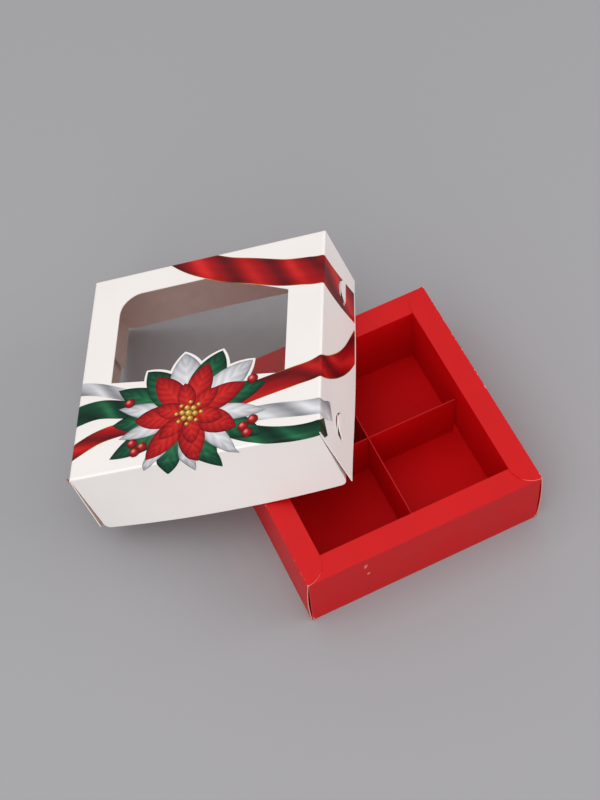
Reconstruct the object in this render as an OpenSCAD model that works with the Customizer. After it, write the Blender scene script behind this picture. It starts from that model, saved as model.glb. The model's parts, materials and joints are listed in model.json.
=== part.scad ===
// Window-lid sweet box: a hollow-walled tray with four cells and a separate lid
// that leans on the tray. All sizes are in millimetres, +Z is up, and the origin
// is the middle of the tray's underside. +X is the tray's right, +Y its back.

/* [Card] */
// Thickness of the board that the tray, lid and dividers are cut from
card = 0.4; // [0.3:0.05:0.5]
// Thickness of the clear film behind the window
film = 0.15; // [0.1:0.05:0.25]
// Gap between two plies that lie against each other
ply_gap = 0.1; // [0.05:0.05:0.2]

/* [Tray] */
// Width of the tray, left to right
tray_w = 105; // [90:1:126]
// Depth of the tray, front to back
tray_d = 104.4; // [90:0.2:126]
// Height of the tray
tray_h = 35; // [30:0.5:42]
// Width of the hollow rim on each side
rim_w = 10; // [8:0.5:13]
// Length of the corner flaps folded into the tray's side walls
tray_flap = 22; // [12:1:30]

/* [Dividers] */
// Height of the two dividers
divider_h = 27; // [18:0.5:29]
// Space between a divider's end and the inner wall that it faces
divider_end_gap = 2; // [0.5:0.5:4]
// Play on each side of a divider in the other's slot
slot_fit = 0.15; // [0.1:0.05:0.4]

/* [Lid] */
// Height of the lid
lid_h = 35; // [30:0.5:42]
// Play on each side between the closed lid and the tray
lid_fit = 0.1; // [0.1:0.05:0.5]
// Outward lean of the four lid walls, in degrees
lid_splay = 1.4; // [0.5:0.1:3]
// Length of the lid's corner flaps
lid_flap = 25; // [20:1:30]
// Height that a corner flap's lower edge is cut back
flap_trim = 2; // [1:0.5:4]
// Radius of the lower corners of the front and back walls
wall_corner = 2.5; // [1:0.5:5]

/* [Locks] */
// Radius of the half-round hole near each end of a side wall
lock_radius = 6.5; // [5:0.5:7]
// Distance from the lid's corner to the hole's middle, along the wall
lock_reach = 17.5; // [14:0.5:18]
// Distance from the lid's top face down to the hole's straight lower edge
lock_drop = 23; // [18:0.5:26]
// Play round the half-round tongue in the hole
lock_fit = 0.4; // [0.3:0.1:0.8]
// How far the tongue's tip stands out past the side wall
tongue_out = 0.9; // [0.3:0.1:1.5]

/* [Window] */
// Card left beside the window on the left
window_left = 14; // [10:0.5:20]
// Card left beside the window on the right
window_right = 15.4; // [10:0.5:20]
// Card left behind the window
window_back = 12.5; // [10:0.5:20]
// Radius of the window's back left corner
window_radius = 10; // [4:0.5:14]
// Distance from the front edge to the window's lower edge, at its left end
window_front_left = 46; // [40:0.5:50]
// Distance from the front edge to the window's lower edge, at its right end
window_front_right = 33; // [28:0.5:44]
// Length of the slanted cut across the window's back right corner, left to right
window_slant_w = 35; // [20:1:45]
// Depth of the same cut, front to back
window_slant_d = 16.5; // [8:0.5:24]
// Width of the film glued behind the card round the window
film_margin = 6; // [3:0.5:8]

/* [Ornament silhouette] */
// Middle of the flower's silhouette, from the lid's left edge
flower_u = 51; // [45:1:57]
// Middle of the flower's silhouette, from the lid's front edge
flower_v = 22; // [16:1:28]

/* [Leaning lid] */
// Turn of the lid seen from above, in degrees
lid_turn = -24.35; // [-30:0.05:-18]
// Distance of the lid's corner on the table beyond the tray's left side
corner_left = 14.2; // [8:0.1:18]
// Distance of the same corner behind the tray's back
corner_back = 60.6; // [56:0.2:68]
// Clearance left where the lid touches the table and the tray's rims
rest_gap = 0.25; // [0.2:0.05:0.4]

/* [Hidden] */

// Smoothness of round edges
$fn = 64;

// Colours
tray_red = [0.85, 0.15, 0.16];
inner_red = [0.62, 0.04, 0.06];
lid_white = [0.93, 0.91, 0.90];
film_clear = [0.82, 0.86, 0.88, 0.35];

// Tray: the side rims lie one ply above the front and back rims
inner_w = tray_w - 2 * rim_w;
inner_d = tray_d - 2 * rim_w;
side_top = tray_h - card;
front_top = tray_h - 2 * card;
front_wall_w = tray_w - 2 * (card + ply_gap);

// Dividers
long_divider_l = inner_w - 2 * divider_end_gap;
cross_divider_l = inner_d - 2 * divider_end_gap;
slot_w = card + 2 * slot_fit;
slot_h = divider_h / 2 + slot_fit;

// Lid: the flaps lie between the side walls and the tray
lid_w = tray_w + 2 * (2 * card + ply_gap + lid_fit);
lid_d = tray_d + 2 * (card + 3 * lid_fit);
wall_h = lid_h - card;
lid_wall_w = lid_w - 2 * (card + ply_gap);
lid_out = wall_h * sin(lid_splay);
lid_drop = card + wall_h * cos(lid_splay);

// Locks: the tongue is bent out of the flap until its tip passes the leaning side wall
tongue_r = lock_radius - lock_fit;
tongue_tip = ply_gap + card + tongue_out + (lock_drop - tongue_r) * sin(lid_splay);
tongue_bend = asin(tongue_tip / tongue_r);

// Window and film, from the lid's front left corner
window_u0 = window_left;
window_u1 = lid_w - window_right;
window_v1 = lid_d - window_back;
// Reach, length and width of each lobe of the silhouette, round the flower's middle
lobes = [[128, 34, 17], [97, 33, 18], [66, 33, 18], [38, 35, 16]];

// Length of the vector along which a direction keeps its sense
function unit(v) = v / norm(v);

// The lid's own axes in the tray's frame, for a slope of its lower rim
function lid_axes(slope) =
    let (
        ex = unit([cos(lid_turn), sin(lid_turn),
                   slope[0] * cos(lid_turn) + slope[1] * sin(lid_turn)]),
        ez = unit([-slope[0], -slope[1], 1]),
        ey = cross(ez, ex)
    )
    [ex, ey, ez];

// A point of the lid's frame carried into the tray's frame
function carried(axes, origin, p) =
    origin + p[0] * axes[0] + p[1] * axes[1] + p[2] * axes[2];

// Where the lid's lowest corner stands on the table
corner_point = [-tray_w / 2 - corner_left, tray_d / 2 + corner_back, rest_gap];

// The lid's origin, the middle of its top face, for given axes
function lid_origin(axes) =
    corner_point - carried(axes, [0, 0, 0], [-lid_w / 2 - lid_out, lid_d / 2, -lid_drop]);

// Where the front wall's lower edge crosses the tray's left side
function front_crossing(axes) =
    let (
        start = carried(axes, lid_origin(axes), [0, -lid_d / 2 - lid_out, -lid_drop]),
        s = (-tray_w / 2 - start[0]) / axes[0][0]
    )
    start + s * axes[0];

// Where the right wall's lower edge crosses the tray's back
function back_crossing(axes) =
    let (
        start = carried(axes, lid_origin(axes), [lid_w / 2 + lid_out, 0, -lid_drop]),
        s = (tray_d / 2 - start[1]) / axes[1][1]
    )
    start + s * axes[1];

// The slope that lays the lid's rim on the left rim, the back rim and the table
function next_slope(axes) =
    let (
        p = front_crossing(axes) - corner_point,
        q = back_crossing(axes) - corner_point,
        det = p[0] * q[1] - p[1] * q[0]
    )
    [(tray_h * q[1] - side_top * p[1]) / det, (p[0] * side_top - q[0] * tray_h) / det];

// The slope settles after a few rounds
function settled(slope, rounds) =
    rounds == 0 ? slope : settled(next_slope(lid_axes(slope)), rounds - 1);

axes = lid_axes(settled([0, 0], 30));
lid_at = lid_origin(axes);
lid_angles = [
    atan2(axes[1][2], axes[2][2]),
    -asin(axes[0][2]),
    atan2(axes[0][1], axes[0][0])
];

// A board panel: a box given by its low corner and its size
module panel(low, size) {
    translate(low) cube(size);
}

// Tray floor
module tray_base() {
    color(tray_red) panel([-tray_w / 2, -tray_d / 2, 0], [tray_w, tray_d, card]);
}

// Outer wall at the front (side = -1) or the back (side = 1)
module tray_end_wall(side) {
    y = side < 0 ? -tray_d / 2 : tray_d / 2 - card;
    color(tray_red) panel([-front_wall_w / 2, y, card], [front_wall_w, card, front_top - card]);
}

// Outer wall at the left (side = -1) or the right (side = 1)
module tray_side_wall(side) {
    x = side < 0 ? -tray_w / 2 : tray_w / 2 - card;
    color(tray_red) panel([x, -tray_d / 2, card], [card, tray_d, side_top - card]);
}

// Rim at the front or back, which passes under the ends of the side rims
module tray_end_rim(side) {
    y = side < 0 ? -tray_d / 2 : tray_d / 2 - rim_w;
    color(tray_red) panel([-tray_w / 2 + card, y, front_top], [tray_w - 2 * card, rim_w, card]);
}

// Rim at the left or right, with a quarter round at each end
module tray_side_rim(side) {
    color(tray_red) translate([0, 0, side_top]) linear_extrude(card) {
        mirror([side < 0 ? 0 : 1, 0]) translate([-tray_w / 2, 0]) {
            translate([0, -inner_d / 2]) square([rim_w, inner_d]);
            for (end = [-1, 1]) {
                intersection() {
                    translate([0, end * inner_d / 2]) circle(r = rim_w);
                    translate([0, end < 0 ? -tray_d / 2 : inner_d / 2]) square(rim_w);
                }
            }
        }
    }
}

// Inner wall at the front or back
module tray_end_inner(side) {
    y = side < 0 ? -inner_d / 2 - card : inner_d / 2;
    color(inner_red) panel([-inner_w / 2, y, card], [inner_w, card, front_top - card]);
}

// Inner wall at the left or right
module tray_side_inner(side) {
    x = side < 0 ? -inner_w / 2 - card : inner_w / 2;
    color(inner_red) panel([x, -inner_d / 2, card], [card, inner_d, side_top - card]);
}

// Corner flap, folded off an end wall and held inside a side wall
module tray_corner_flap(side_x, side_y) {
    x = side_x < 0 ? -front_wall_w / 2 : front_wall_w / 2 - card;
    y = side_y < 0 ? -tray_d / 2 + card : tray_d / 2 - card - tray_flap;
    color(inner_red) panel([x, y, card], [card, tray_flap, front_top - card]);
}

// Divider that runs from side to side, slotted from above
module long_divider() {
    color(tray_red) difference() {
        panel([-long_divider_l / 2, -card / 2, card], [long_divider_l, card, divider_h]);
        panel([-slot_w / 2, -card, card + divider_h - slot_h], [slot_w, 2 * card, 2 * slot_h]);
    }
}

// Divider that runs from front to back, slotted from below
module cross_divider() {
    color(tray_red) difference() {
        panel([-card / 2, -cross_divider_l / 2, card], [card, cross_divider_l, divider_h]);
        panel([-card, -slot_w / 2, card - slot_h], [2 * card, slot_w, 2 * slot_h]);
    }
}

// Carries a shape from the lid's frame to where the lid leans
module leaning() {
    translate(lid_at) rotate(lid_angles) children();
}

// A pointed lobe with one tip at the origin and the other on +X
module lobe(length, width) {
    r = (length * length + width * width) / (4 * width);
    translate([length / 2, 0]) intersection() {
        translate([0, r - width / 2]) circle(r = r, $fn = 128);
        translate([0, width / 2 - r]) circle(r = r, $fn = 128);
    }
}

// The window's outline, from the lid's front left corner
module window_outline() {
    slope = atan2(window_front_left - window_front_right, window_u1 - window_u0);
    slant = atan2(window_slant_d, window_slant_w);
    cut = lid_w + lid_d;
    difference() {
        union() {
            translate([window_u0, window_v1 - window_radius - cut])
                square([window_u1 - window_u0, cut]);
            translate([window_u0 + window_radius, window_v1 - window_radius])
                square([window_u1 - window_u0 - window_radius, window_radius]);
            translate([window_u0 + window_radius, window_v1 - window_radius])
                circle(r = window_radius);
        }
        translate([window_u0, window_front_left]) rotate(-slope)
            translate([-cut / 2, -2 * cut]) square([2 * cut, 2 * cut]);
        translate([window_u1, window_v1 - window_slant_d]) rotate(-slant)
            translate([-cut / 2, 0]) square([cut, cut]);
        translate([flower_u, flower_v]) for (l = lobes) rotate(l[0]) lobe(l[1], l[2]);
    }
}

// Top panel with the window
module lid_top() {
    color(lid_white) leaning() difference() {
        panel([-lid_w / 2, -lid_d / 2, -card], [lid_w, lid_d, card]);
        translate([-lid_w / 2, -lid_d / 2, -2 * card]) linear_extrude(3 * card) window_outline();
    }
}

// Clear film glued under the top panel
module window_film() {
    low_v = window_front_right - film_margin;
    color(film_clear) leaning() panel(
        [window_u0 - film_margin - lid_w / 2, low_v - lid_d / 2, -card - film],
        [window_u1 - window_u0 + 2 * film_margin, window_v1 + film_margin - low_v, film]
    );
}

// Front or back wall: it hangs from its crease and leans outwards
module lid_end_wall(side) {
    color(lid_white) leaning() mirror([0, side < 0 ? 0 : 1, 0])
        translate([0, -lid_d / 2, -card]) rotate([-lid_splay, 0, 0])
            translate([0, card, 0]) rotate([90, 0, 0]) linear_extrude(card) {
                translate([-lid_wall_w / 2, -wall_h + wall_corner])
                    square([lid_wall_w, wall_h - wall_corner]);
                translate([-lid_wall_w / 2 + wall_corner, -wall_h])
                    square([lid_wall_w - 2 * wall_corner, wall_corner]);
                for (end = [-1, 1])
                    translate([end * (lid_wall_w / 2 - wall_corner), -wall_h + wall_corner])
                        circle(r = wall_corner);
            }
}

// A half-round plate that stands on its straight edge, centred on the plane x = 0
module half_round(r, thick) {
    intersection() {
        rotate([0, 90, 0]) cylinder(r = r, h = thick, center = true);
        translate([-thick, -r, 0]) cube([2 * thick, 2 * r, r]);
    }
}

// Left or right wall with a half-round hole near each corner
module lid_side_wall(side) {
    color(lid_white) leaning() mirror([side < 0 ? 1 : 0, 0, 0])
        translate([lid_w / 2, 0, -card]) rotate([0, -lid_splay, 0]) difference() {
            panel([-card, -lid_d / 2, -wall_h], [card, lid_d, wall_h]);
            for (end = [-1, 1])
                translate([-card / 2, end * (lid_d / 2 - lock_reach), card - lock_drop])
                    half_round(lock_radius, 3 * card);
        }
}

// Corner flap of the lid with the tongue that is bent out through the side wall's hole
module lid_corner_flap(side_x, side_y) {
    color(lid_white) leaning() mirror([side_x < 0 ? 1 : 0, 0, 0]) mirror([0, side_y < 0 ? 0 : 1, 0])
        translate([lid_wall_w / 2 - card / 2, -lid_d / 2, -card]) {
            difference() {
                rotate([-lid_splay, 0, 0])
                    panel([-card / 2, card, flap_trim - wall_h],
                          [card, lid_flap - card, wall_h - 2 * flap_trim]);
                translate([0, lock_reach, card - lock_drop]) half_round(lock_radius, 3 * card);
            }
            translate([0, lock_reach, card - lock_drop]) {
                rotate([0, tongue_bend, 0]) half_round(tongue_r, card);
                translate([-card / 2, -tongue_r, -card]) cube([card, 2 * tongue_r, 1.5 * card]);
            }
        }
}

tray_base();
tray_end_wall(-1);  // tray_front_wall
tray_end_wall(1);  // tray_back_wall
tray_side_wall(-1);  // tray_left_wall
tray_side_wall(1);  // tray_right_wall
tray_end_rim(-1);  // tray_front_rim
tray_end_rim(1);  // tray_back_rim
tray_side_rim(-1);  // tray_left_rim
tray_side_rim(1);  // tray_right_rim
tray_end_inner(-1);  // tray_front_inner_wall
tray_end_inner(1);  // tray_back_inner_wall
tray_side_inner(-1);  // tray_left_inner_wall
tray_side_inner(1);  // tray_right_inner_wall
tray_corner_flap(-1, -1);  // tray_flap_front_left
tray_corner_flap(1, -1);  // tray_flap_front_right
tray_corner_flap(-1, 1);  // tray_flap_back_left
tray_corner_flap(1, 1);  // tray_flap_back_right
long_divider();
cross_divider();
lid_top();
window_film();
lid_end_wall(-1);  // lid_front_wall
lid_end_wall(1);  // lid_back_wall
lid_side_wall(-1);  // lid_left_wall
lid_side_wall(1);  // lid_right_wall
lid_corner_flap(-1, -1);  // lid_flap_front_left
lid_corner_flap(1, -1);  // lid_flap_front_right
lid_corner_flap(-1, 1);  // lid_flap_back_left
lid_corner_flap(1, 1);  // lid_flap_back_right
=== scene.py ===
"""Looks of a window-lid sweet box, built round its packed construction.

A red tray with hollow walls and a cross divider stands on a pale floor, and its
white printed lid with a clear window leans on it. Lengths are in millimetres
until they reach Blender, where MM turns them into metres.
"""

from __future__ import annotations

import json
import logging
import math
from dataclasses import dataclass, field
from enum import Enum
from typing import Callable, Iterable

import bmesh
import bpy
import numpy as np
from mathutils import Matrix, Vector

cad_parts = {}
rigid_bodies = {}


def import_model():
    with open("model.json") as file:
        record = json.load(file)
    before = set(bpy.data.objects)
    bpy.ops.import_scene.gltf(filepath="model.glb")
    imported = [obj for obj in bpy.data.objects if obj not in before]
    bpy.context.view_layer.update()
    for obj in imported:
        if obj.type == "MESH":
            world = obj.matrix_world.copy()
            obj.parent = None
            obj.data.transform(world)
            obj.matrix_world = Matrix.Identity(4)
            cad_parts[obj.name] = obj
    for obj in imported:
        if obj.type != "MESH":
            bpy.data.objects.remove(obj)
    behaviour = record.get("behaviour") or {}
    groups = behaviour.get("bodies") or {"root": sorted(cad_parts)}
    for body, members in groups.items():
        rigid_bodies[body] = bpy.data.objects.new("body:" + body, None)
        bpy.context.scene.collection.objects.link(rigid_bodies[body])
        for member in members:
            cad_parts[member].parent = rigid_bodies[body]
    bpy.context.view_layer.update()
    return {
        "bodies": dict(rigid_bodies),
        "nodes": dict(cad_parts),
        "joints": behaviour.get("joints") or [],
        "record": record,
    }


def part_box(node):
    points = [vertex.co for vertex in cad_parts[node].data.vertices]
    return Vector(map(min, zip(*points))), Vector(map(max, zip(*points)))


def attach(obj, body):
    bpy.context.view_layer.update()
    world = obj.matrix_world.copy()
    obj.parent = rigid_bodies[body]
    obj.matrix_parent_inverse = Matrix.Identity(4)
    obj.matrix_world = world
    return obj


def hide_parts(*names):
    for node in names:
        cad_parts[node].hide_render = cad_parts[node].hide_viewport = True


LOG = logging.getLogger("sweet_box")
MM = 0.001
Colour = tuple[float, float, float]


class Slot(str, Enum):
    """Material slots of the record."""

    RED_CARD = "red_card"
    WHITE_CARD = "white_card"
    CLEAR_FILM = "clear_film"


def srgb(red: float, green: float, blue: float) -> Colour:
    """Turns a colour as seen on a screen, 0 to 255, into linear light."""
    levels = (red, green, blue)
    return tuple(((c / 255 + 0.055) / 1.055) ** 2.4 if c > 10 else c / 255 / 12.92 for c in levels)


@dataclass(frozen=True)
class LidSizes:
    """Sizes of the lid, in millimetres, as the part's source has them."""

    width: float = 107.0
    depth: float = 105.8
    height: float = 35.0
    card: float = 0.4
    splay: float = math.radians(1.4)
    crease: float = 1.1
    flower_u: float = 51.0
    flower_v: float = 22.0
    lock_radius: float = 6.5
    lock_reach: float = 17.5
    lock_drop: float = 23.0
    tongue_out: float = 1.05
    front_bow: float = 2.6
    back_bow: float = 1.4
    side_bow: float = 1.5
    left_ends: tuple[float, float] = (1.6, 0.5)
    right_ends: tuple[float, float] = (0.7, 0.5)
    lobes: tuple[tuple[float, float, float], ...] = (
        (128, 34, 17),
        (97, 33, 18),
        (66, 33, 18),
        (38, 35, 16),
    )


def deselect() -> None:
    """Leaves nothing selected, so that an operator acts on one piece only."""
    if bpy.context.mode != "OBJECT":
        bpy.ops.object.mode_set(mode="OBJECT")
    bpy.ops.object.select_all(action="DESELECT")


def make_active(piece: bpy.types.Object) -> None:
    """Selects one piece alone and makes it active."""
    deselect()
    piece.select_set(True)
    bpy.context.view_layer.objects.active = piece


def merged_copy(source: bpy.types.Object, name: str) -> bpy.types.Object:
    """Copies a node of the frame as a clean mesh.

    Args:
        source: The node.
        name: Name of the new piece.

    Returns:
        The copy, with its loose triangles merged into flat faces.
    """
    piece = bpy.data.objects.new(name, source.data.copy())
    bpy.context.scene.collection.objects.link(piece)
    piece.data.materials.clear()
    make_active(piece)
    bpy.ops.object.mode_set(mode="EDIT")
    bpy.ops.mesh.select_all(action="SELECT")
    bpy.ops.mesh.remove_doubles(threshold=0.00001)
    bpy.ops.mesh.dissolve_limited(angle_limit=math.radians(0.5))
    bpy.ops.object.mode_set(mode="OBJECT")
    bpy.ops.mesh.customdata_custom_splitnormals_clear()
    bpy.ops.object.shade_flat()
    return piece


def select_faces(piece: bpy.types.Object, wanted: Callable[[Vector], bool]) -> bool:
    """Selects the faces of a piece whose middle passes a test, in edit mode.

    Args:
        piece: The piece, in edit mode.
        wanted: Tells of a face's middle whether the face is meant.

    Returns:
        Whether any face was selected.
    """
    mesh = bmesh.from_edit_mesh(piece.data)
    for face in mesh.faces:
        face.select_set(wanted(face.calc_center_median()))
    mesh.select_flush_mode()
    bmesh.update_edit_mesh(piece.data)
    return any(face.select for face in mesh.faces)


def cut_across(piece: bpy.types.Object, axis: int, stations: Iterable[float]) -> None:
    """Divides a piece with flat cuts that leave it whole.

    Args:
        piece: The piece.
        axis: Axis at right angles to the cuts.
        stations: Where the cuts lie along that axis.
    """
    make_active(piece)
    bpy.ops.object.mode_set(mode="EDIT")
    normal = [float(k == axis) for k in range(3)]
    for station in stations:
        bpy.ops.mesh.select_all(action="SELECT")
        bpy.ops.mesh.bisect(plane_co=[station * k for k in normal], plane_no=normal)
    bpy.ops.object.mode_set(mode="OBJECT")


def reshape(piece: bpy.types.Object, shift: Callable[[np.ndarray], np.ndarray]) -> None:
    """Moves a piece's points to where a function of all of them puts them."""
    flat = np.empty(len(piece.data.vertices) * 3)
    piece.data.vertices.foreach_get("co", flat)
    piece.data.vertices.foreach_set("co", shift(flat.reshape(-1, 3)).ravel())
    piece.data.update()


def dress(node: bpy.types.Object, material: bpy.types.Material) -> None:
    """Gives a piece one material alone."""
    node.data.materials.clear()
    node.data.materials.append(material)


def soften(node: bpy.types.Object, width: float) -> None:
    """Rounds a piece's sharp edges with a live modifier, width in millimetres."""
    rounding = node.modifiers.new("soft_edges", "BEVEL")
    rounding.width = width * MM
    rounding.segments = 2
    rounding.limit_method = "ANGLE"
    rounding.angle_limit = math.radians(40)


@dataclass
class Bench:
    """Sets and wires shader nodes in one tree."""

    tree: bpy.types.NodeTree

    def add(self, kind: str, **settings: object) -> bpy.types.Node:
        """Adds a node with the settings given."""
        node = self.tree.nodes.new(kind)
        for name, value in settings.items():
            setattr(node, name, value)
        return node

    def feed(self, target: bpy.types.NodeSocket, value: object) -> None:
        """Wires a socket into another, or sets a plain value on it."""
        if isinstance(value, bpy.types.NodeSocket):
            self.tree.links.new(value, target)
        else:
            target.default_value = value

    def math(self, operation: str, *values: object) -> bpy.types.NodeSocket:
        """Adds a sum on plain numbers and gives its result."""
        node = self.add("ShaderNodeMath", operation=operation)
        for target, value in zip(node.inputs, values):
            self.feed(target, value)
        return node.outputs[0]

    def vector(self, operation: str, *values: object, out: str = "Vector") -> bpy.types.NodeSocket:
        """Adds a sum on vectors and gives its result."""
        node = self.add("ShaderNodeVectorMath", operation=operation)
        for target, value in zip(node.inputs, values):
            self.feed(target, value)
        return node.outputs[out]

    def ramp(
        self, value: object, low: float, high: float, first: float = 0, last: float = 1
    ) -> bpy.types.NodeSocket:
        """Maps a value from one range to another and stops at its ends."""
        node = self.add("ShaderNodeMapRange")
        names = ("Value", "From Min", "From Max", "To Min", "To Max")
        for name, given in zip(names, (value, low, high, first, last)):
            self.feed(node.inputs[name], given)
        return node.outputs[0]

    def noise(self, place: bpy.types.NodeSocket, scale: float, detail: float = 2) -> bpy.types.NodeSocket:
        """Adds a cloudy pattern and gives its value."""
        node = self.add("ShaderNodeTexNoise")
        self.feed(node.inputs["Vector"], place)
        self.feed(node.inputs["Scale"], scale)
        self.feed(node.inputs["Detail"], detail)
        return node.outputs["Fac"]

    def mix(self, factor: object, first: object, second: object) -> bpy.types.NodeSocket:
        """Mixes two colours."""
        node = self.add("ShaderNodeMix", data_type="RGBA")
        for name, value in (("Factor", factor), ("A", first), ("B", second)):
            target = next(s for s in node.inputs if s.name == name and s.enabled)
            self.feed(target, value)
        return next(s for s in node.outputs if s.enabled)

    def bump(
        self, height: object, strength: object, distance: float, normal: object = None
    ) -> bpy.types.NodeSocket:
        """Turns a height into a normal."""
        node = self.add("ShaderNodeBump")
        self.feed(node.inputs["Height"], height)
        self.feed(node.inputs["Strength"], strength)
        self.feed(node.inputs["Distance"], distance)
        if normal is not None:
            self.feed(node.inputs["Normal"], normal)
        return node.outputs["Normal"]


GROUP_INPUTS = (
    ("Colour", "NodeSocketColor", (0.8, 0.8, 0.8, 1)),
    ("Cut, wear and crease shine colour", "NodeSocketColor", (0.8, 0.8, 0.8, 1)),
    ("Reverse colour", "NodeSocketColor", (0.8, 0.8, 0.8, 1)),
    ("Facing", "NodeSocketVector", (0, 0, 1)),
    ("Crease", "NodeSocketVector", (0, 0, 0)),
    ("Cut", "NodeSocketFloat", 1.0),
    ("Wear", "NodeSocketFloat", 0.0),
    ("Mottle", "NodeSocketFloat", 0.05),
    ("Relief", "NodeSocketFloat", 0.1),
)
TRAY_MIDDLE = (0, 0, 17.5 * MM)
TRAY_HALF = (52.5 * MM, 52.2 * MM, 17.5 * MM)


def board_group() -> bpy.types.NodeTree:
    """Builds the shared look of folding board.

    Returns:
        A group that gives the colour of a coated board with lighter cut edges
        and rubbed corners, a faint painted highlight along its folded edges,
        its gloss, and the relief of its fibres.
    """
    group = bpy.data.node_groups.new("board_surface", "ShaderNodeTree")
    for name, kind, value in GROUP_INPUTS:
        made = group.interface.new_socket(name=name, in_out="INPUT", socket_type=kind)
        made.default_value = value
    for name, kind in (("Colour", "Color"), ("Gloss change", "Float"), ("Normal", "Vector")):
        group.interface.new_socket(name=name, in_out="OUTPUT", socket_type=f"NodeSocket{kind}")
    bench = Bench(group)
    given = bench.add("NodeGroupInput").outputs
    result = bench.add("NodeGroupOutput").inputs
    place = bench.add("ShaderNodeTexCoord").outputs
    facing = bench.vector("DOT_PRODUCT", place["Normal"], given["Facing"], out="Value")
    crease = bench.vector("DOT_PRODUCT", place["Normal"], given["Crease"], out="Value")
    # Faces turned off the printed face take the cut colour. Folded edges keep only part of it: the bevel
    # facet next to the face gets a faint pale line, a painted crease highlight. Boards given no crease
    # direction take this painted highlight on their rounded creases as well.
    edge = bench.ramp(bench.math("ABSOLUTE", facing), 0.95, 0.55)
    folded = bench.ramp(bench.math("ABSOLUTE", crease), 0.6, 0.8, 1, 0)
    cut = bench.math("MULTIPLY", bench.math("MULTIPLY", edge, folded), given["Cut"])
    side = bench.mix(bench.math("LESS_THAN", facing, 0.0), given["Colour"], given["Reverse colour"])
    cloud = bench.ramp(bench.noise(place["Object"], 55, 4), 0.25, 0.75, -1, 1)
    level = bench.math("MULTIPLY_ADD", cloud, given["Mottle"], 1.0)
    face = bench.vector("SCALE", side)
    bench.feed(face.node.inputs["Scale"], level)
    away = bench.vector("ABSOLUTE", bench.vector("SUBTRACT", place["Object"], TRAY_MIDDLE))
    gaps = bench.add("ShaderNodeSeparateXYZ")
    bench.feed(gaps.inputs[0], bench.vector("SUBTRACT", TRAY_HALF, away))
    near = [bench.ramp(gap, 1.0 * MM, 0.2 * MM) for gap in gaps.outputs]
    pairs = [bench.math("MULTIPLY", near[a], near[b]) for a, b in ((0, 1), (1, 2), (0, 2))]
    rim = bench.math("MAXIMUM", bench.math("MAXIMUM", pairs[0], pairs[1]), pairs[2])
    corner = bench.math("MULTIPLY", pairs[0], near[2])
    grain = bench.math("MULTIPLY_ADD", corner, 0.12, bench.noise(place["Object"], 750, 3))
    rubbed = bench.ramp(bench.math("MULTIPLY", grain, rim), 0.6, 0.68)
    bare_board_and_crease_shine = bench.math("MAXIMUM", cut, bench.math("MULTIPLY", rubbed, given["Wear"]))
    bench.feed(result["Colour"], bench.mix(bare_board_and_crease_shine, face, given["Cut, wear and crease shine colour"]))
    duller = bench.math("MULTIPLY", bare_board_and_crease_shine, 0.2)
    bench.feed(result["Gloss change"], bench.math("MULTIPLY_ADD", cloud, 0.05, duller))
    sag = bench.bump(bench.noise(place["Object"], 24, 1), 0.6, 0.0012)
    fibre = bench.bump(bench.noise(place["Object"], 2200, 3), given["Relief"], 0.00005, sag)
    bench.feed(result["Normal"], fibre)
    return group


def scuff_group() -> bpy.types.NodeTree:
    """Builds the shared mask of a small rubbed spot."""
    group = bpy.data.node_groups.new("scuff_mark", "ShaderNodeTree")
    for name, kind in (("Spot", "Vector"), ("Size", "Float")):
        group.interface.new_socket(name=name, in_out="INPUT", socket_type=f"NodeSocket{kind}")
    group.interface.new_socket(name="Mask", in_out="OUTPUT", socket_type="NodeSocketFloat")
    bench = Bench(group)
    given = bench.add("NodeGroupInput").outputs
    place = bench.add("ShaderNodeTexCoord").outputs["Object"]
    away = bench.vector("DISTANCE", place, given["Spot"], out="Value")
    share = bench.math("DIVIDE", away, given["Size"])
    grain = bench.math("MULTIPLY_ADD", bench.noise(place, 1600, 2), 1.6, -0.8)
    mask = bench.ramp(bench.math("ADD", share, grain), 0.75, 0.55)
    bench.feed(bench.add("NodeGroupOutput").inputs["Mask"], mask)
    return group


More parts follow.
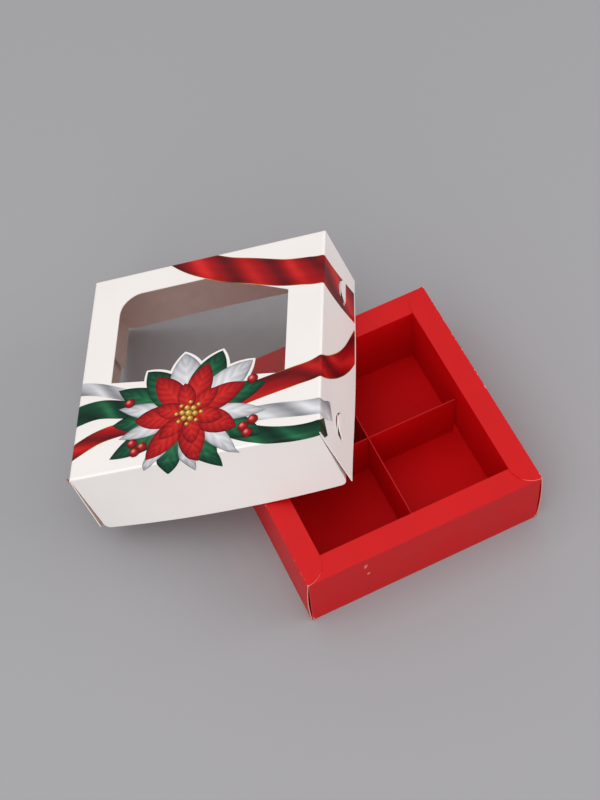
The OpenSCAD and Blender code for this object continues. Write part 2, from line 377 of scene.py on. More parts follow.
@dataclass(frozen=True)
class BoardFinish:
    """Coated folding board, with a lighter cut edge and a faint painted highlight along its folded edges.
    """

    name: str
    colour: Colour
    cut: Colour
    reverse: Colour
    roughness: float = 0.45
    mottle: float = 0.04
    relief: float = 0.12
    specular: float = 0.3
    wear: float = 0.0

    def material(
        self,
        facing: Iterable[float],
        crease: Iterable[float] = (0, 0, 0),
        cut: float = 1.0,
        print_name: str | None = None,
        scuffs: Iterable[tuple[float, float, float, float]] = (),
    ) -> bpy.types.Material:
        """Builds the material.

        Args:
            facing: Direction in which the board's printed face looks; faces at
                right angles to it are cut edges.
            crease: Direction in which its folded edges look; these aren't cut but keep a faint painted
                highlight.
            cut: How far the cut edges show their own colour, 0 to 1.
            print_name: Colour attribute with the print, where the board has one.
            scuffs: Place and size in millimetres of each rubbed spot.

        Returns:
            The material.
        """
        material = bpy.data.materials.new(self.name)
        material.use_nodes = True
        bench = Bench(material.node_tree)
        shader = material.node_tree.nodes["Principled BSDF"]
        shader.inputs["Specular IOR Level"].default_value = self.specular
        groups = bpy.data.node_groups
        surface = bench.add("ShaderNodeGroup", node_tree=groups.get("board_surface") or board_group())
        settings = {
            "Colour": (*self.colour, 1),
            "Cut, wear and crease shine colour": (*self.cut, 1),
            "Reverse colour": (*self.reverse, 1),
            "Facing": tuple(facing),
            "Crease": tuple(crease),
            "Cut": cut,
            "Wear": self.wear,
            "Mottle": self.mottle,
            "Relief": self.relief,
        }
        for name, value in settings.items():
            surface.inputs[name].default_value = value
        if print_name:
            ink = bench.add("ShaderNodeAttribute", attribute_name=print_name)
            bench.feed(surface.inputs["Colour"], ink.outputs["Color"])
            bench.feed(surface.inputs["Reverse colour"], ink.outputs["Color"])
        colour = surface.outputs["Colour"]
        for *spot, size in scuffs:
            mark = bench.add("ShaderNodeGroup", node_tree=groups.get("scuff_mark") or scuff_group())
            mark.inputs["Spot"].default_value = [k * MM for k in spot]
            mark.inputs["Size"].default_value = size * MM
            colour = bench.mix(mark.outputs["Mask"], colour, (*SCUFF, 1))
        bench.feed(shader.inputs["Base Color"], colour)
        bench.feed(shader.inputs["Normal"], surface.outputs["Normal"])
        roughness = bench.math("ADD", surface.outputs["Gloss change"], self.roughness)
        bench.feed(shader.inputs["Roughness"], roughness)
        return material


SCUFF = srgb(232, 140, 134)
RED = srgb(196, 6, 12)
WHITE = srgb(238, 232, 229)
# The cut colours show on cut edges and rubbed spots, and as a faint painted highlight along folded edges.
RED_BOARD = BoardFinish("red_board", RED, srgb(250, 160, 148), RED, 0.5, 0.05, specular=0.24, wear=0.9)
INNER_BOARD = BoardFinish("inner_board", RED, srgb(182, 34, 38), RED, 0.55, 0.05, specular=0.08)
WHITE_BOARD = BoardFinish("white_board", WHITE, srgb(246, 242, 238), srgb(236, 206, 194), 0.42, 0.012, 0.1)
PRINTED_BOARD = BoardFinish("printed_board", WHITE, WHITE, WHITE, 0.4, 0.05, 0.1, specular=0.16)


@dataclass(frozen=True)
class FilmFinish:
    """Thin clear film with a faint veil, its tint darkened as painted shade for the dim space under the
    lid.
    """

    name: str = "clear_film"
    # Dark tint: partly the film's own absorption, partly painted shade for the shadowed floor seen under
    # the lid.
    colour: Colour = srgb(110, 102, 98)
    alpha: float = 0.1
    roughness: float = 0.1

    def material(self) -> bpy.types.Material:
        """Builds the material."""
        material = bpy.data.materials.new(self.name)
        material.use_nodes = True
        bench = Bench(material.node_tree)
        shader = material.node_tree.nodes["Principled BSDF"]
        shader.inputs["Base Color"].default_value = (*self.colour, 1)
        place = bench.add("ShaderNodeTexCoord").outputs["Object"]
        wave = bench.noise(place, 30)
        smear = bench.noise(place, 140, 3)
        alpha = bench.ramp(smear, 0.3, 0.8, self.alpha - 0.02, self.alpha + 0.03)
        roughness = bench.ramp(smear, 0.3, 0.8, self.roughness, self.roughness + 0.1)
        bench.feed(shader.inputs["Alpha"], alpha)
        bench.feed(shader.inputs["Roughness"], roughness)
        bench.feed(shader.inputs["Normal"], bench.bump(wave, 0.15, 0.001))
        return material


@dataclass(frozen=True)
class Ink:
    """Three tones of one printed colour, from shade to light."""

    deep: Colour
    middle: Colour
    light: Colour

    def tone(self, level: np.ndarray) -> np.ndarray:
        """Mixes the tones.

        Args:
            level: 0 for the deepest tone, 1 for the lightest, one for each point.

        Returns:
            One colour for each point.
        """
        level = np.clip(level, 0, 1)[:, None]
        low = np.array(self.deep) + (np.array(self.middle) - self.deep) * np.minimum(level * 2, 1)
        return low + (np.array(self.light) - self.middle) * np.maximum(level * 2 - 1, 0)


RED_INK = Ink(srgb(70, 4, 10), srgb(160, 8, 16), srgb(222, 44, 40))
PETAL_INK = Ink(srgb(84, 2, 8), srgb(158, 8, 16), srgb(214, 44, 38))
BERRY_INK = Ink(srgb(70, 2, 8), srgb(160, 10, 18), srgb(240, 130, 120))
GREEN_INK = Ink(srgb(4, 26, 20), srgb(12, 68, 46), srgb(44, 118, 76))
SILVER_INK = Ink(srgb(120, 120, 126), srgb(186, 186, 190), srgb(234, 234, 236))
GOLD_INK = Ink(srgb(96, 56, 14), srgb(196, 146, 54), srgb(250, 226, 150))


class Motif:
    """A printed shape on the unfolded lid, as a grid of points with colours."""

    rows: int = 24
    columns: int = 8

    def points(self, along: np.ndarray, across: np.ndarray) -> np.ndarray:
        """Places grid points on the unfolded lid."""
        raise NotImplementedError

    def colours(self, along: np.ndarray, across: np.ndarray) -> np.ndarray:
        """Gives each grid point its colour."""
        raise NotImplementedError

    def build(self, height: float) -> bpy.types.Object:
        """Makes the motif as a flat sheet.

        Args:
            height: Height above the board, in millimetres.

        Returns:
            The sheet, lying on the unfolded lid.
        """
        deselect()
        bpy.ops.mesh.primitive_grid_add(x_subdivisions=self.rows, y_subdivisions=self.columns, size=2)
        sheet = bpy.context.active_object
        flat = np.empty(len(sheet.data.vertices) * 3)
        sheet.data.vertices.foreach_get("co", flat)
        grid = flat.reshape(-1, 3)
        along, across = (grid[:, 0] + 1) / 2, grid[:, 1]
        where = self.points(along, across)
        placed = np.column_stack([where, np.full(len(where), height)])
        sheet.data.vertices.foreach_set("co", placed.ravel())
        ink = sheet.data.attributes.new("ink", "FLOAT_COLOR", "POINT")
        tint = np.column_stack([self.colours(along, across), np.ones(len(where))])
        ink.data.foreach_set("color", tint.ravel())
        return sheet


@dataclass
class Band(Motif):
    """A satin ribbon along a smooth line."""

    line: list[tuple[float, float]]
    widths: tuple[float, float]
    ink: Ink
    folds: float = 2.0
    shift: float = 0.0
    rows: int = 90
    columns: int = 8

    def centre(self, along: np.ndarray) -> tuple[np.ndarray, np.ndarray]:
        """Gives points on the ribbon's middle line and the directions across it."""
        knots = np.array(self.line, dtype=float)
        knots = np.vstack([2 * knots[0] - knots[1], knots, 2 * knots[-1] - knots[-2]])
        spans = len(knots) - 3
        where = np.clip(along * spans, 0, spans - 1e-6)
        index = where.astype(int)
        t = (where - index)[:, None]
        a, b, c, d = (knots[index + k] for k in range(4))
        bend, twist = 2 * a - 5 * b + 4 * c - d, 3 * b - a - 3 * c + d
        spot = 0.5 * (2 * b + (c - a) * t + bend * t**2 + twist * t**3)
        step = 0.5 * ((c - a) + 2 * bend * t + 3 * twist * t**2)
        step /= np.linalg.norm(step, axis=1)[:, None]
        return spot, np.column_stack([-step[:, 1], step[:, 0]])

    def points(self, along: np.ndarray, across: np.ndarray) -> np.ndarray:
        """Places grid points on the unfolded lid."""
        spot, normal = self.centre(along)
        half = (self.widths[0] + (self.widths[1] - self.widths[0]) * along) / 2
        return spot + normal * (across * half)[:, None]

    def colours(self, along: np.ndarray, across: np.ndarray) -> np.ndarray:
        """Gives each grid point its colour: satin that shades along its folds."""
        drift = 0.16 * np.sin(11 * along + 5 * self.shift)
        phase = self.folds * along + self.shift + drift + 0.3 * across
        phase -= np.floor(phase)
        shine = np.exp(-(((phase - 0.55) / 0.16) ** 2)) * (0.75 + 0.25 * np.sin(23 * along + self.shift))
        shade = np.exp(-(((phase - 0.12) / 0.2) ** 2)) + np.exp(-(((phase - 1.12) / 0.2) ** 2))
        thread = 0.03 * np.sin(17 * across + 9 * along)
        return self.ink.tone(0.46 + 0.42 * shine - 0.34 * shade - 0.1 * across**2 + thread)


@dataclass
class Lobe(Motif):
    """A pointed petal or leaf that starts at one tip."""

    start: tuple[float, float]
    angle: float
    length: float
    width: float
    ink: Ink
    veins: int = 7
    rows: int = 40
    columns: int = 16

    def points(self, along: np.ndarray, across: np.ndarray) -> np.ndarray:
        """Places grid points on the unfolded lid."""
        radius = (self.length**2 + self.width**2) / (4 * self.width)
        reach = along * self.length
        arc = np.sqrt(np.maximum(radius**2 - (reach - self.length / 2) ** 2, 0))
        half = arc - (radius - self.width / 2)
        turn = math.radians(self.angle)
        side = across * half
        return np.column_stack([
            self.start[0] + reach * math.cos(turn) - side * math.sin(turn),
            self.start[1] + reach * math.sin(turn) + side * math.cos(turn),
        ])

    def colours(self, along: np.ndarray, across: np.ndarray) -> np.ndarray:
        """Gives each grid point its colour, with a middle vein and side veins."""
        side = np.abs(across)
        vein = np.cos(math.tau * self.veins * (along - 0.22 * side)) * 0.10
        middle = 0.3 * np.exp(-((side / 0.1) ** 2)) * (1 - along)
        body = 0.12 + 0.62 * np.sin(math.pi * np.clip(along * 0.9 + 0.05, 0, 1)) ** 0.8
        return self.ink.tone(body - 0.42 * side**5 - 0.12 * side + vein + middle + 0.1 * across)


@dataclass
class Bead(Motif):
    """A round bead or berry with a bright spot."""

    spot: tuple[float, float]
    radius: float
    ink: Ink
    rows: int = 12
    columns: int = 12

    def points(self, along: np.ndarray, across: np.ndarray) -> np.ndarray:
        """Places grid points on the unfolded lid, the square grid drawn into a disc."""
        x, y = along * 2 - 1, across
        return np.column_stack([
            self.spot[0] + self.radius * x * np.sqrt(1 - y * y / 2),
            self.spot[1] + self.radius * y * np.sqrt(1 - x * x / 2),
        ])

    def colours(self, along: np.ndarray, across: np.ndarray) -> np.ndarray:
        """Gives each grid point its colour: a ball lit from the upper left."""
        x, y = along * 2 - 1, across
        light = np.exp(-(((x + 0.35) ** 2 + (y - 0.4) ** 2) / 0.18))
        return self.ink.tone(0.5 - 0.4 * (x * x + y * y) + 0.6 * light)


def ornament(sizes: LidSizes) -> list[Motif]:
    """Lists the motifs of the lid's print, from the lowest layer to the top one."""
    centre = (sizes.flower_u, sizes.flower_v)
    motifs: list[Motif] = []
    right = sizes.width
    upper = [(4, 144), (20, 129), (34, 116), (47, 104.5), (60, 97), (73.5, 92), (88, 87), (98, 85)]
    upper += [(right, 84), (right + 18, 86), (right + 37, 90)]
    lower = [(56, 20), (76, 26), (right - 12, 30), (right, 33)]
    lower += [(right + 14, 43), (right + 26, 56), (right + 37, 74)]
    tail = [(44, 19), (28, 21), (12, 19), (-2, 12), (-16, 4), (-38, -4)]
    for line, near, far in ((upper, 10.5, 16.2), (lower, 9.4, 9.4), (tail, 6.6, 6.6)):
        folds = len(line) * 0.45
        motifs.append(Band(line, (near + 0.5, far + 0.5), GOLD_INK, folds, 0.2))
        motifs.append(Band(line, (near, far), RED_INK, folds, 0.1))
    line = [(60, 16), (78, 6), (94, 2), (right, 2.5), (right + 6, 7)]
    motifs.append(Band(line, (8.5, 7), GREEN_INK, 2.2, 0.3))
    line = [(44, 26), (24, 30), (10, 33), (-2, 31), (-14, 27), (-37, 16)]
    motifs.append(Band(line, (8, 12), GREEN_INK, 2.6, 0.6))
    line = [(62, 15), (84, 15), (right, 13), (right + 11, 18)]
    motifs.append(Band(line, (7, 8), SILVER_INK, 2.0, 0.2))
    line = [(40, 30), (22, 38), (8, 44), (-3, 46), (-14, 44), (-37, 36)]
    motifs.append(Band(line, (5, 8), SILVER_INK, 2.4, 0.5))
    for angle, length in ((150, 38), (14, 34), (332, 37), (205, 37), (178, 34), (250, 31), (292, 33)):
        motifs.append(Lobe(centre, angle, length, 12, GREEN_INK))
    for angle, length in ((164, 33), (350, 34), (192, 31), (232, 31), (312, 33), (272, 30)):
        motifs.append(Lobe(centre, angle, length, 8, SILVER_INK, 5))
    for (angle, length, width), ink in zip(sizes.lobes, (GREEN_INK, SILVER_INK, GREEN_INK, SILVER_INK)):
        motifs.append(Lobe(centre, angle, length - 1.2, width - 2.4, ink))
    for step, length in enumerate((25, 27, 24, 26, 25, 24, 26)):
        motifs.append(Lobe(centre, 74 + step * 360 / 7, length, 11.5, PETAL_INK))
    for step in range(6):
        motifs.append(Lobe(centre, 40 + step * 60, 16, 8, PETAL_INK, 5))
    for ring, count, radius in ((0.0, 1, 1.7), (2.9, 6, 1.4), (5.4, 8, 1.0)):
        for step in range(count):
            turn = math.tau * step / count + ring
            spot = (centre[0] + ring * math.cos(turn), centre[1] + ring * math.sin(turn))
            motifs.append(Bead(spot, radius, GOLD_INK))
    for spot in ((27, 12), (31.5, 9.5), (28.5, 7.5), (75, 10), (79, 12.5), (77, 6.5), (24, 33), (78, 33)):
        motifs.append(Bead(spot, 2.3, BERRY_INK))
    return motifs


INK_BASE = 0.02
INK_STEP = 0.004
PUNCH_SIDES = 14
PRINT_MARGIN = 1.5


@dataclass
class Lid:
    """The printed lid, leaning where the frame has it."""

    frame: dict
    sizes: LidSizes = field(default_factory=LidSizes)

    def matrix(self) -> Matrix:
        """Gives the lid's own axes: its origin is the middle of its top face."""
        joints = {joint["name"]: joint for joint in self.frame["joints"]}
        left, right = joints["lid_left_wall_fold"], joints["lid_right_wall_fold"]
        low, high = Vector(left["pos_m"]), Vector(right["pos_m"])
        x = (high - low).normalized()
        y = Vector(left["axis"]).normalized()
        z = x.cross(y)
        origin = (low + high) / 2 + z * self.sizes.card * MM
        turn = Matrix((x, y, z)).transposed().to_4x4()
        return Matrix.Translation(origin) @ turn

    def fold(self, flat: np.ndarray) -> np.ndarray:
        """Folds points of the unfolded lid over its creases.

        Args:
            flat: Points in millimetres from the top face's front left corner,
                with their height above the board.

        Returns:
            Points in the lid's own axes, in millimetres.
        """
        sizes = self.sizes
        folded = np.empty_like(flat)
        lift = flat[:, 2].copy()
        drop = np.zeros(len(flat))
        rise = np.ones(len(flat))
        for axis, half in ((0, sizes.width / 2), (1, sizes.depth / 2)):
            centred = flat[:, axis] - half
            sign = np.sign(centred)
            past = np.abs(centred) - (half - sizes.crease)
            angle = np.clip(past / sizes.crease, 0, math.pi / 2)
            down = np.clip(past - sizes.crease * math.pi / 2, 0, None)
            over = past > 0
            lean = np.clip(down - (sizes.card - sizes.crease), 0, None) * math.sin(sizes.splay)
            outer = half - sizes.crease + (sizes.crease + lift) * np.sin(angle) + lean
            folded[:, axis] = np.where(over, sign * outer, centred)
            drop = np.where(over, sizes.crease * (1 - np.cos(angle)) + down, drop)
            rise = np.where(over, np.cos(angle), rise)
        folded[:, 2] = lift * rise - drop
        return folded

    def bow(self, panel: str, points: np.ndarray) -> np.ndarray:
        """Bends a wall outwards, as a folded board wall stands by itself.

        Args:
            panel: Which wall the points belong to: front, back, left or right.
            points: Points in the lid's own axes, in millimetres.

        Returns:
            The points moved.
        """
        sizes = self.sizes
        start, shape = 1.0, 1.4
        low = np.clip((-points[:, 2] - start) / (sizes.height - start), 0, 1)
        moved = points.copy()
        if panel in ("front", "back"):
            sign, reach = (-1, sizes.front_bow) if panel == "front" else (1, sizes.back_bow)
            share = 1 - (2 * points[:, 0] / sizes.width) ** 2
            moved[:, 1] += sign * reach * np.clip(share, 0, 1) * low**shape
            return moved
        sign = -1 if panel == "left" else 1
        along = 2 * points[:, 1] / sizes.depth
        reach = sizes.side_bow * np.clip(1 - along**2, 0, 1) * low**shape
        near, far = sizes.left_ends if panel == "left" else sizes.right_ends
        reach += low * (near * np.clip(-along, 0, 1) ** 6 + far * np.clip(along, 0, 1) ** 6)
        moved[:, 0] += sign * reach
        return moved

    def round_off(self, points: np.ndarray) -> np.ndarray:
        """Draws the corner between the top and the walls into a quarter round."""
        radius = self.sizes.crease
        moved = points.copy()
        for axis, half in ((0, self.sizes.width / 2), (1, self.sizes.depth / 2)):
            out = np.abs(moved[:, axis]) - (half - radius)
            up = moved[:, 2] + radius
            inside = (out > 0) & (up > 0)
            share = np.maximum(out, up) / np.maximum(np.hypot(out, up), 1e-9)
            drawn = np.sign(moved[:, axis]) * (half - radius + out * share)
            moved[:, axis] = np.where(inside, drawn, moved[:, axis])
            moved[:, 2] = np.where(inside, up * share - radius, moved[:, 2])
        return moved

    def crease_steps(self) -> np.ndarray:
        """Gives stations within the crease's radius, where boards are divided."""
        return np.linspace(0, self.sizes.crease, 6)

    def wall(self, side: str) -> bpy.types.Object:
        """Makes one wall from its node, bowed outwards.

        Args:
            side: front, back, left or right.

        Returns:
            The wall.
        """
        piece = merged_copy(self.frame["nodes"][f"lid_{side}_wall"], f"lid_{side}_wall_board")
        matrix = self.matrix()
        piece.data.transform(matrix.inverted())
        along = 0 if side in ("front", "back") else 1
        half = (self.sizes.width, self.sizes.depth)[along] / 2
        cut_across(piece, along, np.linspace(-half, half, 29)[1:-1] * MM)
        cut_across(piece, 2, np.linspace(-self.sizes.height, 0, 9)[1:-1] * MM)
        cut_across(piece, 2, -self.crease_steps() * MM)
        reshape(piece, lambda points: self.round_off(self.bow(side, points / MM)) * MM)
        piece.data.transform(matrix)
        return piece

    def crease_cuts(self) -> list[float]:
        """Lists where the print is divided so that it bends round a crease."""
        arc = self.sizes.crease * math.pi / 2
        return [arc * step / 6 for step in range(7)]

    def print_sheet(
        self, name: str, panel: str, window: tuple[float, float, float, float]
    ) -> bpy.types.Object:
        """Prints the part of the ornament that falls on one stretch of the lid.

        Args:
            name: Name of the piece.
            panel: The wall that the stretch reaches over.
            window: Lowest and highest u, lowest and highest v of the stretch.

        Returns:
            The printed layers, folded onto the lid.
        """
        motifs = ornament(self.sizes)
        sheets = [motif.build(INK_BASE + INK_STEP * level) for level, motif in enumerate(motifs)]
        deselect()
        for sheet in sheets:
            sheet.select_set(True)
        bpy.context.view_layer.objects.active = sheets[0]
        bpy.ops.object.join()
        piece = bpy.context.active_object
        piece.name = name
        low_u, high_u, low_v, high_v = window
        edges = (
            ((low_u, 0, 0), (1, 0, 0), True),
            ((high_u, 0, 0), (1, 0, 0), False),
            ((0, low_v, 0), (0, 1, 0), True),
            ((0, high_v, 0), (0, 1, 0), False),
        )
        bpy.ops.object.mode_set(mode="EDIT")
        for spot, normal, inner in edges:
            bpy.ops.mesh.select_all(action="SELECT")
            bpy.ops.mesh.bisect(plane_co=spot, plane_no=normal, clear_inner=inner, clear_outer=not inner)
        bpy.ops.object.mode_set(mode="OBJECT")
        for axis, half in ((0, self.sizes.width / 2), (1, self.sizes.depth / 2)):
            reach = [half - self.sizes.crease + past for past in self.crease_cuts()]
            cut_across(piece, axis, [half + sign * past for past in reach for sign in (-1, 1)])
        if panel in ("left", "right"):
            for end in (self.sizes.lock_reach, self.sizes.depth - self.sizes.lock_reach):
                self.punch(piece, panel, end)
        reshape(piece, lambda flat: self.folded_print(panel, flat))
        make_active(piece)
        bpy.ops.object.mode_set(mode="EDIT")
        bpy.ops.mesh.select_all(action="SELECT")
        bpy.ops.mesh.normals_make_consistent(inside=False)
        bpy.ops.object.mode_set(mode="OBJECT")
        self.face_out(piece)
        body = piece.modifiers.new("ink_body", "SOLIDIFY")
        body.thickness = INK_STEP * 0.5 * MM
        body.offset = -1
        bpy.ops.object.modifier_apply(modifier=body.name)
        piece.data.transform(self.matrix())
        return piece

    def punch(self, piece: bpy.types.Object, panel: str, end: float) -> None:
        """Cuts a tongue's half-round hole out of flat print.

        Args:
            piece: The flat print.
            panel: left or right.
            end: Where the hole's middle lies along the wall.
        """
        sizes = self.sizes
        past = sizes.lock_drop + sizes.crease * (math.pi / 2 - 2)
        middle = Vector((-past if panel == "left" else sizes.width + past, end))
        up = Vector((1 if panel == "left" else -1, 0))
        aside = Vector((-up.y, up.x))
        planes = [(middle, -up)]
        for step in range(PUNCH_SIDES):
            turn = math.pi * (step + 0.5) / PUNCH_SIDES
            normal = aside * math.cos(turn) + up * math.sin(turn)
            planes.append((middle + normal * sizes.lock_radius, normal))
        make_active(piece)
        bpy.ops.object.mode_set(mode="EDIT")
        bpy.ops.mesh.select_mode(type="FACE")
        for spot, normal in planes:
            if select_faces(piece, lambda at: (at.xy - middle).length < sizes.lock_radius + 2):
                bpy.ops.mesh.bisect(plane_co=(*spot, 0), plane_no=(*normal, 0))
        if select_faces(piece, lambda at: all((at.xy - spot).dot(normal) < 0 for spot, normal in planes)):
            bpy.ops.mesh.delete(type="FACE")
        bpy.ops.object.mode_set(mode="OBJECT")

    def folded_print(self, panel: str, flat: np.ndarray) -> np.ndarray:
        """Folds flat print over the creases and bows what lies on a wall."""
        folded = self.fold(flat)
        bowed = self.bow(panel, folded)
        if panel in ("left", "right"):
            return bowed * MM
        behind = self.bow("back", folded)
        depth = self.sizes.depth
        placed = np.where((flat[:, 1] < 0)[:, None], bowed, folded)
        return np.where((flat[:, 1] > depth)[:, None], behind, placed) * MM

    def face_out(self, piece: bpy.types.Object) -> None:
        """Turns every face of a printed sheet away from the lid's middle."""
        mesh = bmesh.new()
        mesh.from_mesh(piece.data)
        middle = Vector((0, 0, -self.sizes.height * MM / 2))
        inward = [face for face in mesh.faces if face.normal.dot(face.calc_center_median() - middle) < 0]
        bmesh.ops.reverse_faces(mesh, faces=inward)
        mesh.to_mesh(piece.data)
        mesh.free()

    def tongue(self, end: str, side: str) -> bpy.types.Object:
        """Makes the face of a half-round tongue that stands out of its hole.

        Args:
            end: front or back.
            side: left or right.

        Returns:
            The tongue.
        """
        sizes = self.sizes
        sign = -1 if side == "left" else 1
        middle = (sizes.depth / 2 - sizes.lock_reach) * (-1 if end == "front" else 1)
        radius = sizes.lock_radius - 0.4
        run, sunk = 1.3, 0.45
        deselect()
        bpy.ops.mesh.primitive_grid_add(x_subdivisions=16, y_subdivisions=14, size=2)
        piece = bpy.context.active_object
        piece.name = f"lid_tongue_{end}_{side}"

        def curl(grid: np.ndarray) -> np.ndarray:
            """Lays the grid on a half round that curls out of the wall."""
            rise = radius * (1 - (1 - (grid[:, 0] + 1) / 2) ** 1.5)
            across = grid[:, 1] * np.sqrt(np.maximum(radius**2 - rise**2, 0.0004))
            down = sizes.lock_drop - rise
            wall = sizes.width / 2 + (down - sizes.card) * math.sin(sizes.splay)
            face = np.column_stack([sign * wall, middle + across, -down])
            face = self.bow(side, face)
            share = np.clip(rise / run, 0, 1)
            curve = share * share * (3 - 2 * share)
            face[:, 0] += sign * ((sizes.tongue_out + sunk) * curve - sunk)
            return face * MM

        reshape(piece, curl)
        self.face_out(piece)
        body = piece.modifiers.new("board", "SOLIDIFY")
        body.thickness = sizes.card * 0.95 * MM
        body.offset = -1
        make_active(piece)
        bpy.ops.object.modifier_apply(modifier=body.name)
        bpy.ops.object.shade_smooth_by_angle(angle=math.radians(40))
        piece.data.transform(self.matrix())
        return piece

    def top(self) -> bpy.types.Object:
        """Makes the top panel, rounded over the creases."""
        piece = merged_copy(self.frame["nodes"]["lid_top"], "lid_top_board")
        matrix = self.matrix()
        piece.data.transform(matrix.inverted())
        for axis, half in ((0, self.sizes.width / 2), (1, self.sizes.depth / 2)):
            reach = [half - step for step in self.crease_steps()[1:]]
            cut_across(piece, axis, [sign * past * MM for past in reach for sign in (-1, 1)])
        reshape(piece, lambda points: self.round_off(points / MM) * MM)
        piece.data.transform(matrix)
        return piece

    def build(self) -> None:
        """Dresses the lid's panels and lays the print on them."""
        matrix = self.matrix()
        axes = matrix.to_3x3().transposed()
        facing = {"lid_top": axes[2], "lid_front_wall": -axes[1], "lid_back_wall": axes[1]}
        for side, sign in (("left", -1), ("right", 1)):
            facing[f"lid_{side}_wall"] = sign * axes[0]
            for end in ("front", "back"):
                facing[f"lid_flap_{end}_{side}"] = sign * axes[0]
        for name, direction in facing.items():
            dress(self.frame["nodes"][name], WHITE_BOARD.material(direction))
        dress(self.frame["nodes"]["window_film"], FilmFinish().material())
        boards = [(self.top(), "lid_top", "lid")]
        for side in ("front", "back", "left", "right"):
            node = f"lid_{side}_wall"
            boards.append((self.wall(side), node, node if side in ("left", "right") else "lid"))
        for piece, node, body in boards:
            dress(piece, WHITE_BOARD.material(facing[node]))
            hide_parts(node)
            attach(piece, body)
            LOG.info("%s: %d faces", piece.name, len(piece.data.polygons))
        for end in ("front", "back"):
            for side in ("left", "right"):
                piece = self.tongue(end, side)
                dress(piece, WHITE_BOARD.material(facing[f"lid_{side}_wall"]))
                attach(piece, f"lid_flap_{end}_{side}")
        sizes = self.sizes
        bottom = sizes.height - PRINT_MARGIN
        near, far = 0.2, sizes.depth - 0.2
        stretches = (
            ("lid_print_top", "front", "lid", (0, sizes.width, -bottom, sizes.depth + bottom)),
            ("lid_print_right", "right", "lid_right_wall", (sizes.width, sizes.width + bottom, near, far)),
            ("lid_print_left", "left", "lid_left_wall", (-bottom, 0, near, far)),
        )
        for name, panel, body, window in stretches:
            piece = self.print_sheet(name, panel, window)
            dress(piece, PRINTED_BOARD.material(axes[2], cut=0.0, print_name="ink"))
            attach(piece, body)
            LOG.info("%s: %d faces", name, len(piece.data.polygons))


FRONT_SCUFFS = (
    (-27.1, -52.2, 28.8, 1.0),
    (-27.3, -52.2, 27.2, 0.8),
    (-26.0, -52.2, 20.6, 1.0),
    (-52.3, -52.2, 1.2, 1.8),
    (52.3, -52.2, 0.8, 1.6),
)
SIDE_SCUFFS = ((-52.5, -52.2, 1.4, 2.2), (52.5, -52.2, 1.0, 2.0), (-52.5, -46.0, 35.0, 1.4))


@dataclass
class Tray:
    """The red tray and its dividers, sizes in millimetres."""

    frame: dict
    width: float = 105.0
    depth: float = 104.4
    height: float = 35.0
    gape: float = 0.9
    gape_run: float = 16.0

    def side_wall(self, side: str) -> bpy.types.Object:
        """Makes a side wall whose free ends stand off the corners at mid-height.

        Args:
            side: left or right.

        Returns:
            The wall.
        """
        piece = merged_copy(self.frame["nodes"][f"tray_{side}_wall"], f"tray_{side}_wall_board")
        half = self.depth / 2
        near = [half - self.gape_run * 1.4 * k / 10 for k in range(1, 11)]
        cut_across(piece, 1, [sign * y * MM for y in near for sign in (-1, 1)])
        cut_across(piece, 2, np.linspace(0, self.height, 11)[1:-1] * MM)
        sign = -1 if side == "left" else 1

        def stand_off(points: np.ndarray) -> np.ndarray:
            """Moves the ends outwards."""
            moved = points.copy()
            end = np.exp(-(((half * MM - np.abs(points[:, 1])) / (self.gape_run * MM)) ** 2 * 3))
            share = np.where(points[:, 1] < 0, 1.0, 0.6)
            belly = np.sin(math.pi * np.clip(points[:, 2] / (self.height * MM), 0, 1)) ** 0.8
            moved[:, 0] += sign * self.gape * MM * end * share * belly
            return moved

        reshape(piece, stand_off)
        return piece

    def creased(self, name: str) -> tuple[tuple[float, float, float], tuple[float, float, float]]:
        """Gives the way a panel faces and the way in which its folded edges look."""
        size = [high - low for low, high in zip(*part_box(name))]
        thin = size.index(min(size))
        facing = tuple(1.0 if axis == thin else 0.0 for axis in range(3))
        if name.endswith("rim"):
            return facing, (1, 0, 0) if "left" in name or "right" in name else (0, 1, 0)
        if name.endswith("wall"):
            return facing, (0, 0, 1)
        return facing, (0, 0, 0)

    def build(self) -> None:
        """Dresses the tray's panels and the dividers."""
        for name, node in self.frame["nodes"].items():
            if not name.startswith("tray") and "divider" not in name:
                continue
            facing, crease = self.creased(name)
            if "divider" in name:
                dress(node, INNER_BOARD.material(facing, crease))
                continue
            inside = "inner" in name or name == "tray_base"
            finish = INNER_BOARD if inside else RED_BOARD
            scuffs = FRONT_SCUFFS if name == "tray_front_wall" else ()
            cut = 0.0 if name == "tray_base" else 1.0
            dress(node, finish.material(facing, crease, cut=cut, scuffs=scuffs))
            soften(node, 0.18 if name.endswith("rim") else 0.12)
        for side in ("left", "right"):
            node = f"tray_{side}_wall"
            piece = self.side_wall(side)
            facing, crease = self.creased(node)
            dress(piece, RED_BOARD.material(facing, crease, scuffs=SIDE_SCUFFS))
            soften(piece, 0.12)
            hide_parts(node)
            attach(piece, "tray")
            LOG.info("%s: %d faces", piece.name, len(piece.data.polygons))


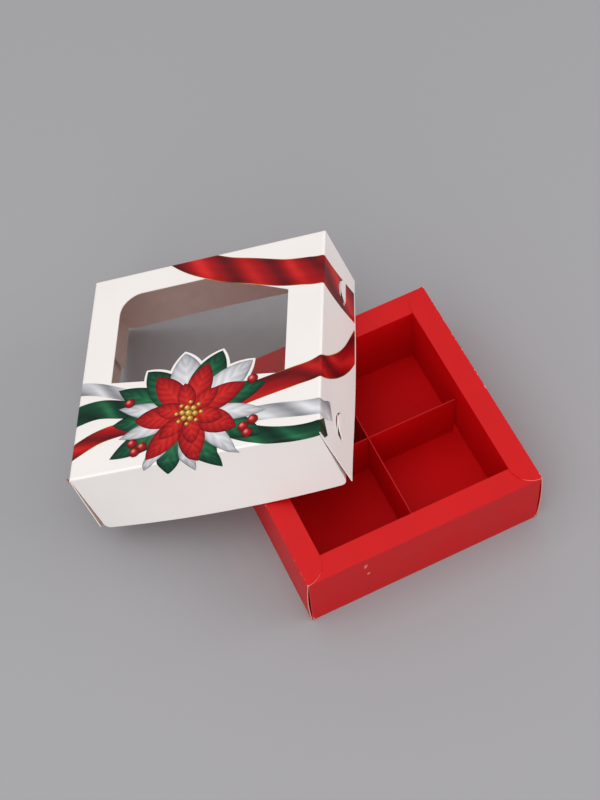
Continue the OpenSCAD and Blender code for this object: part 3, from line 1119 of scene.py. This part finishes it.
@dataclass(frozen=True)
class Stage:
    """Floor, lamps and camera."""

    floor: Colour = srgb(156, 155, 158)
    lens: float = 75.59
    spot: tuple[float, float, float] = (-0.137949, -0.303844, 0.642823)
    floor_size: float = 40.0
    floor_drop: float = 0.00005
    daylight: float = 0.66
    right: tuple[float, float, float] = (0.90192235, -0.42831941, -0.05548471)
    down: tuple[float, float, float] = (-0.39722739, -0.77221493, -0.49587751)
    forward: tuple[float, float, float] = (0.16954785, 0.46928306, -0.86661811)

    def build(self) -> None:
        """Sets the floor, the lamps and the camera."""
        deselect()
        bpy.ops.mesh.primitive_plane_add(size=self.floor_size, location=(0, 0, -self.floor_drop))
        floor = bpy.context.active_object
        floor.name = "floor"
        material = bpy.data.materials.new("floor_paper")
        material.use_nodes = True
        shader = material.node_tree.nodes["Principled BSDF"]
        shader.inputs["Base Color"].default_value = (*self.floor, 1)
        shader.inputs["Roughness"].default_value = 0.9
        dress(floor, material)
        world = bpy.context.scene.world or bpy.data.worlds.new("studio")
        bpy.context.scene.world = world
        world.use_nodes = True
        sky = world.node_tree.nodes["Background"]
        sky.inputs["Color"].default_value = (1, 1, 1, 1)
        sky.inputs["Strength"].default_value = self.daylight
        self.lamp("key", (-0.45, -0.1, 1.3), 1.4, 8.6)
        self.lamp("right", (1.1, -0.5, 0.6), 1.0, 4.5)
        self.lamp("front", (-0.8, -1.1, 0.5), 1.0, 4.0)
        camera_data = bpy.data.cameras.new("camera")
        camera_data.lens = self.lens
        camera_data.sensor_width = 36
        camera = bpy.data.objects.new("camera", camera_data)
        bpy.context.scene.collection.objects.link(camera)
        turn = Matrix((self.right, [-d for d in self.down], [-f for f in self.forward])).transposed()
        camera.matrix_world = Matrix.Translation(self.spot) @ turn.to_4x4()
        bpy.context.scene.camera = camera
        bpy.context.scene.view_settings.view_transform = "Standard"

    @staticmethod
    def lamp(name: str, spot: tuple[float, float, float], size: float, power: float) -> None:
        """Hangs a square soft lamp that looks at the box."""
        light = bpy.data.lights.new(name, "AREA")
        light.size = size
        light.energy = power
        lamp = bpy.data.objects.new(name, light)
        bpy.context.scene.collection.objects.link(lamp)
        lamp.location = spot
        lamp.rotation_euler = (-Vector(spot)).to_track_quat("-Z", "Y").to_euler()


def main() -> None:
    """Builds the box on its stage."""
    logging.basicConfig(level=logging.INFO, format="%(message)s")
    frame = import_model()
    Stage().build()
    Tray(frame).build()
    Lid(frame).build()


if __name__ == "__main__":
    main()
